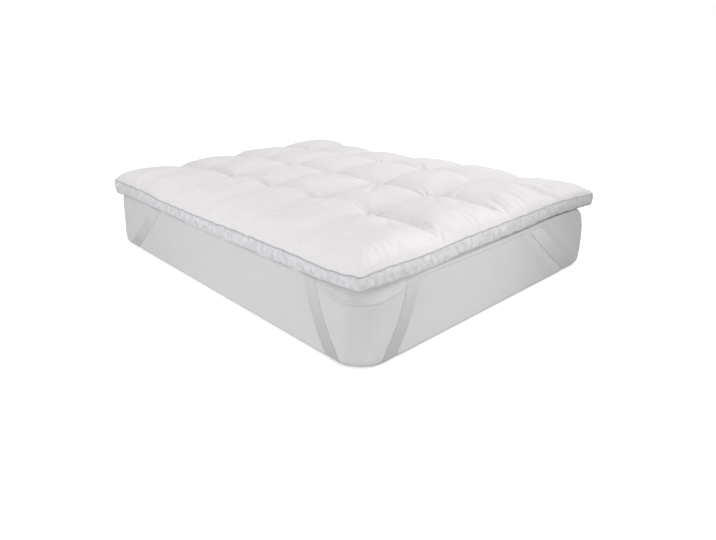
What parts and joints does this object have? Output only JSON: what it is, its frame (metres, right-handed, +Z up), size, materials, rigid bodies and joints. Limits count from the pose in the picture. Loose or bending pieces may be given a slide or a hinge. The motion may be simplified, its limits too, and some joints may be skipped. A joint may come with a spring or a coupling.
{
  "type": "mattress topper on mattress",
  "caption": "Thick filled topper quilted in square puffs, with a corded side band, held on a plain mattress by elastic straps round its corners.",
  "frame": {"origin": "centre of the mattress's flat underside, on the surface that it lies on", "axes": "+X across the bed, +Y along its length, +Z up through the topper"},
  "size_m": [1.6124, 2.0124, 0.4647],
  "materials": {
    "topper_cloth": "soft brushed microfibre, off-white, matt",
    "band_cloth": "soft brushed microfibre, very light grey, matt",
    "cord_cloth": "grey woven tape over cord, matt",
    "elastic": "grey ribbed woven elastic, matt",
    "mattress_cloth": "plain light grey knitted cover, matt"
  },
  "bodies": {
    "root": {"topper_pad": "topper_cloth", "gusset": "band_cloth", "top_piping": "cord_cloth", "bottom_piping": "cord_cloth", "strap_near": "elastic", "strap_left": "elastic", "strap_right": "elastic", "strap_far": "elastic", "mattress": "mattress_cloth"}
  },
  "joints": []
}
